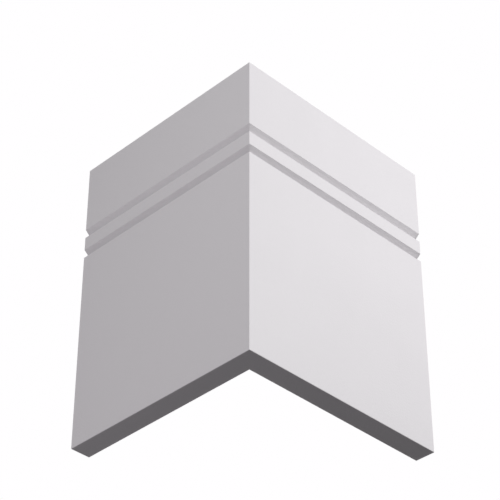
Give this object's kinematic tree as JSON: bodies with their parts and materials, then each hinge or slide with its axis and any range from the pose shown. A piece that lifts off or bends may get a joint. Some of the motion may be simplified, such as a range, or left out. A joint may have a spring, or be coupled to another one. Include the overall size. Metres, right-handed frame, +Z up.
{
  "type": "skirting board corner",
  "caption": "Outside corner of flat white painted skirting board, mitred at the corner, with V-grooves along the face near the top edge.",
  "frame": {"origin": "the wall's outside corner at floor level, where the backs of the two boards meet at their undersides", "axes": "+Z up along the wall's corner; +X along the right board, away from the corner; +Y along the left board, away from the corner. The wall fills the quarter where X and Y are both above zero, and the boards' faces look towards -Y and -X."},
  "size_m": [0.1604, 0.1544, 0.22],
  "materials": {
    "white_painted_board": "white satin paint over medium density fibreboard"
  },
  "bodies": {
    "root": {"right_board": "white_painted_board", "left_board": "white_painted_board"}
  },
  "joints": []
}
